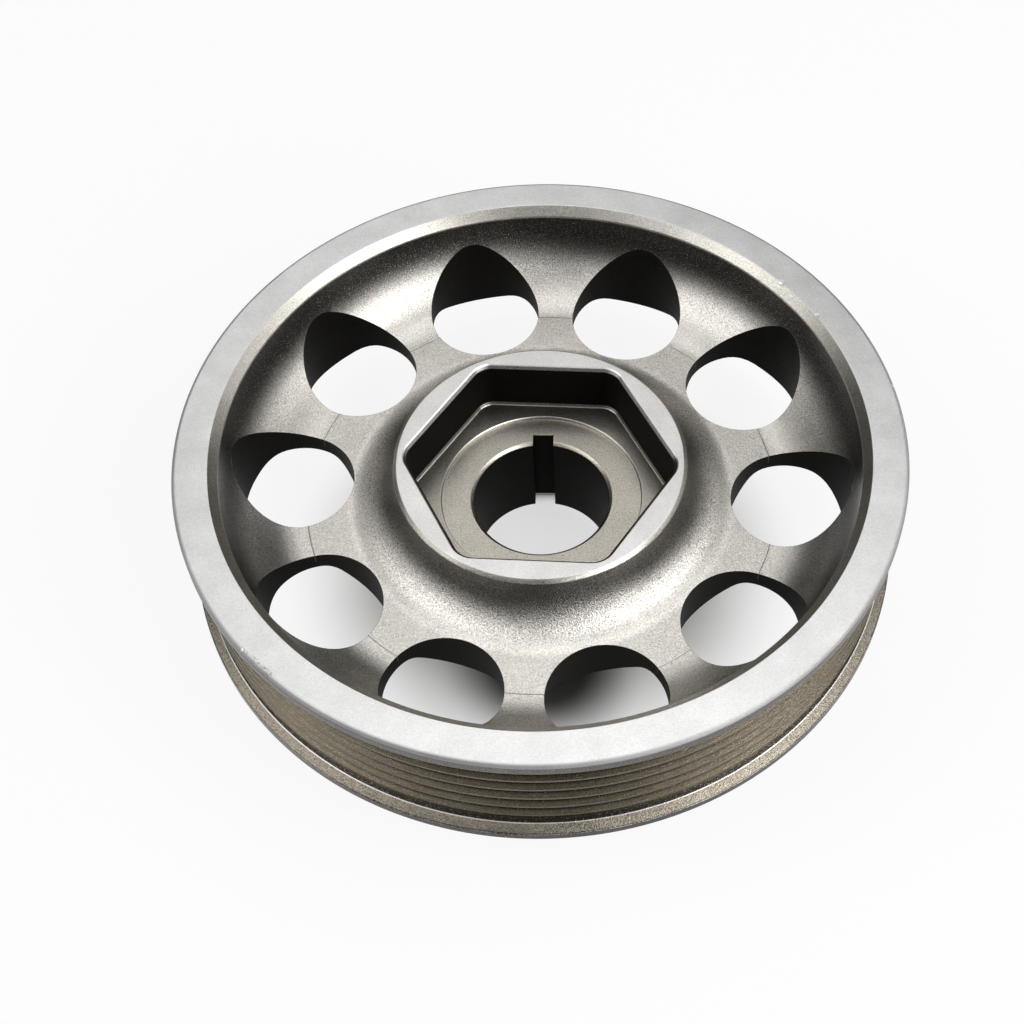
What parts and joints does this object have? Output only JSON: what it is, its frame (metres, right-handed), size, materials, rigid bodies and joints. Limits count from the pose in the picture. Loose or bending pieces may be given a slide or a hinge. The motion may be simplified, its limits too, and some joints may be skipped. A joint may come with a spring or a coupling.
{
  "type": "crankshaft pulley",
  "caption": "Dished V-ribbed crankshaft pulley with round lightening holes, a raised hub with a hexagonal socket, and a keyed bore.",
  "frame": {"origin": "bore axis, at the end of the rear boss on which the pulley lies", "axes": "+Z along the bore axis, out of the dished front face; +Y square to one flat of the hexagonal socket, with the keyway 2.4 degrees from it; +X through the middle of one lightening hole"},
  "size_m": [0.151, 0.151, 0.043],
  "materials": {
    "pulley": "bead blasted and hard anodised, warm grey"
  },
  "bodies": {
    "root": {"pulley": "pulley"}
  },
  "joints": []
}
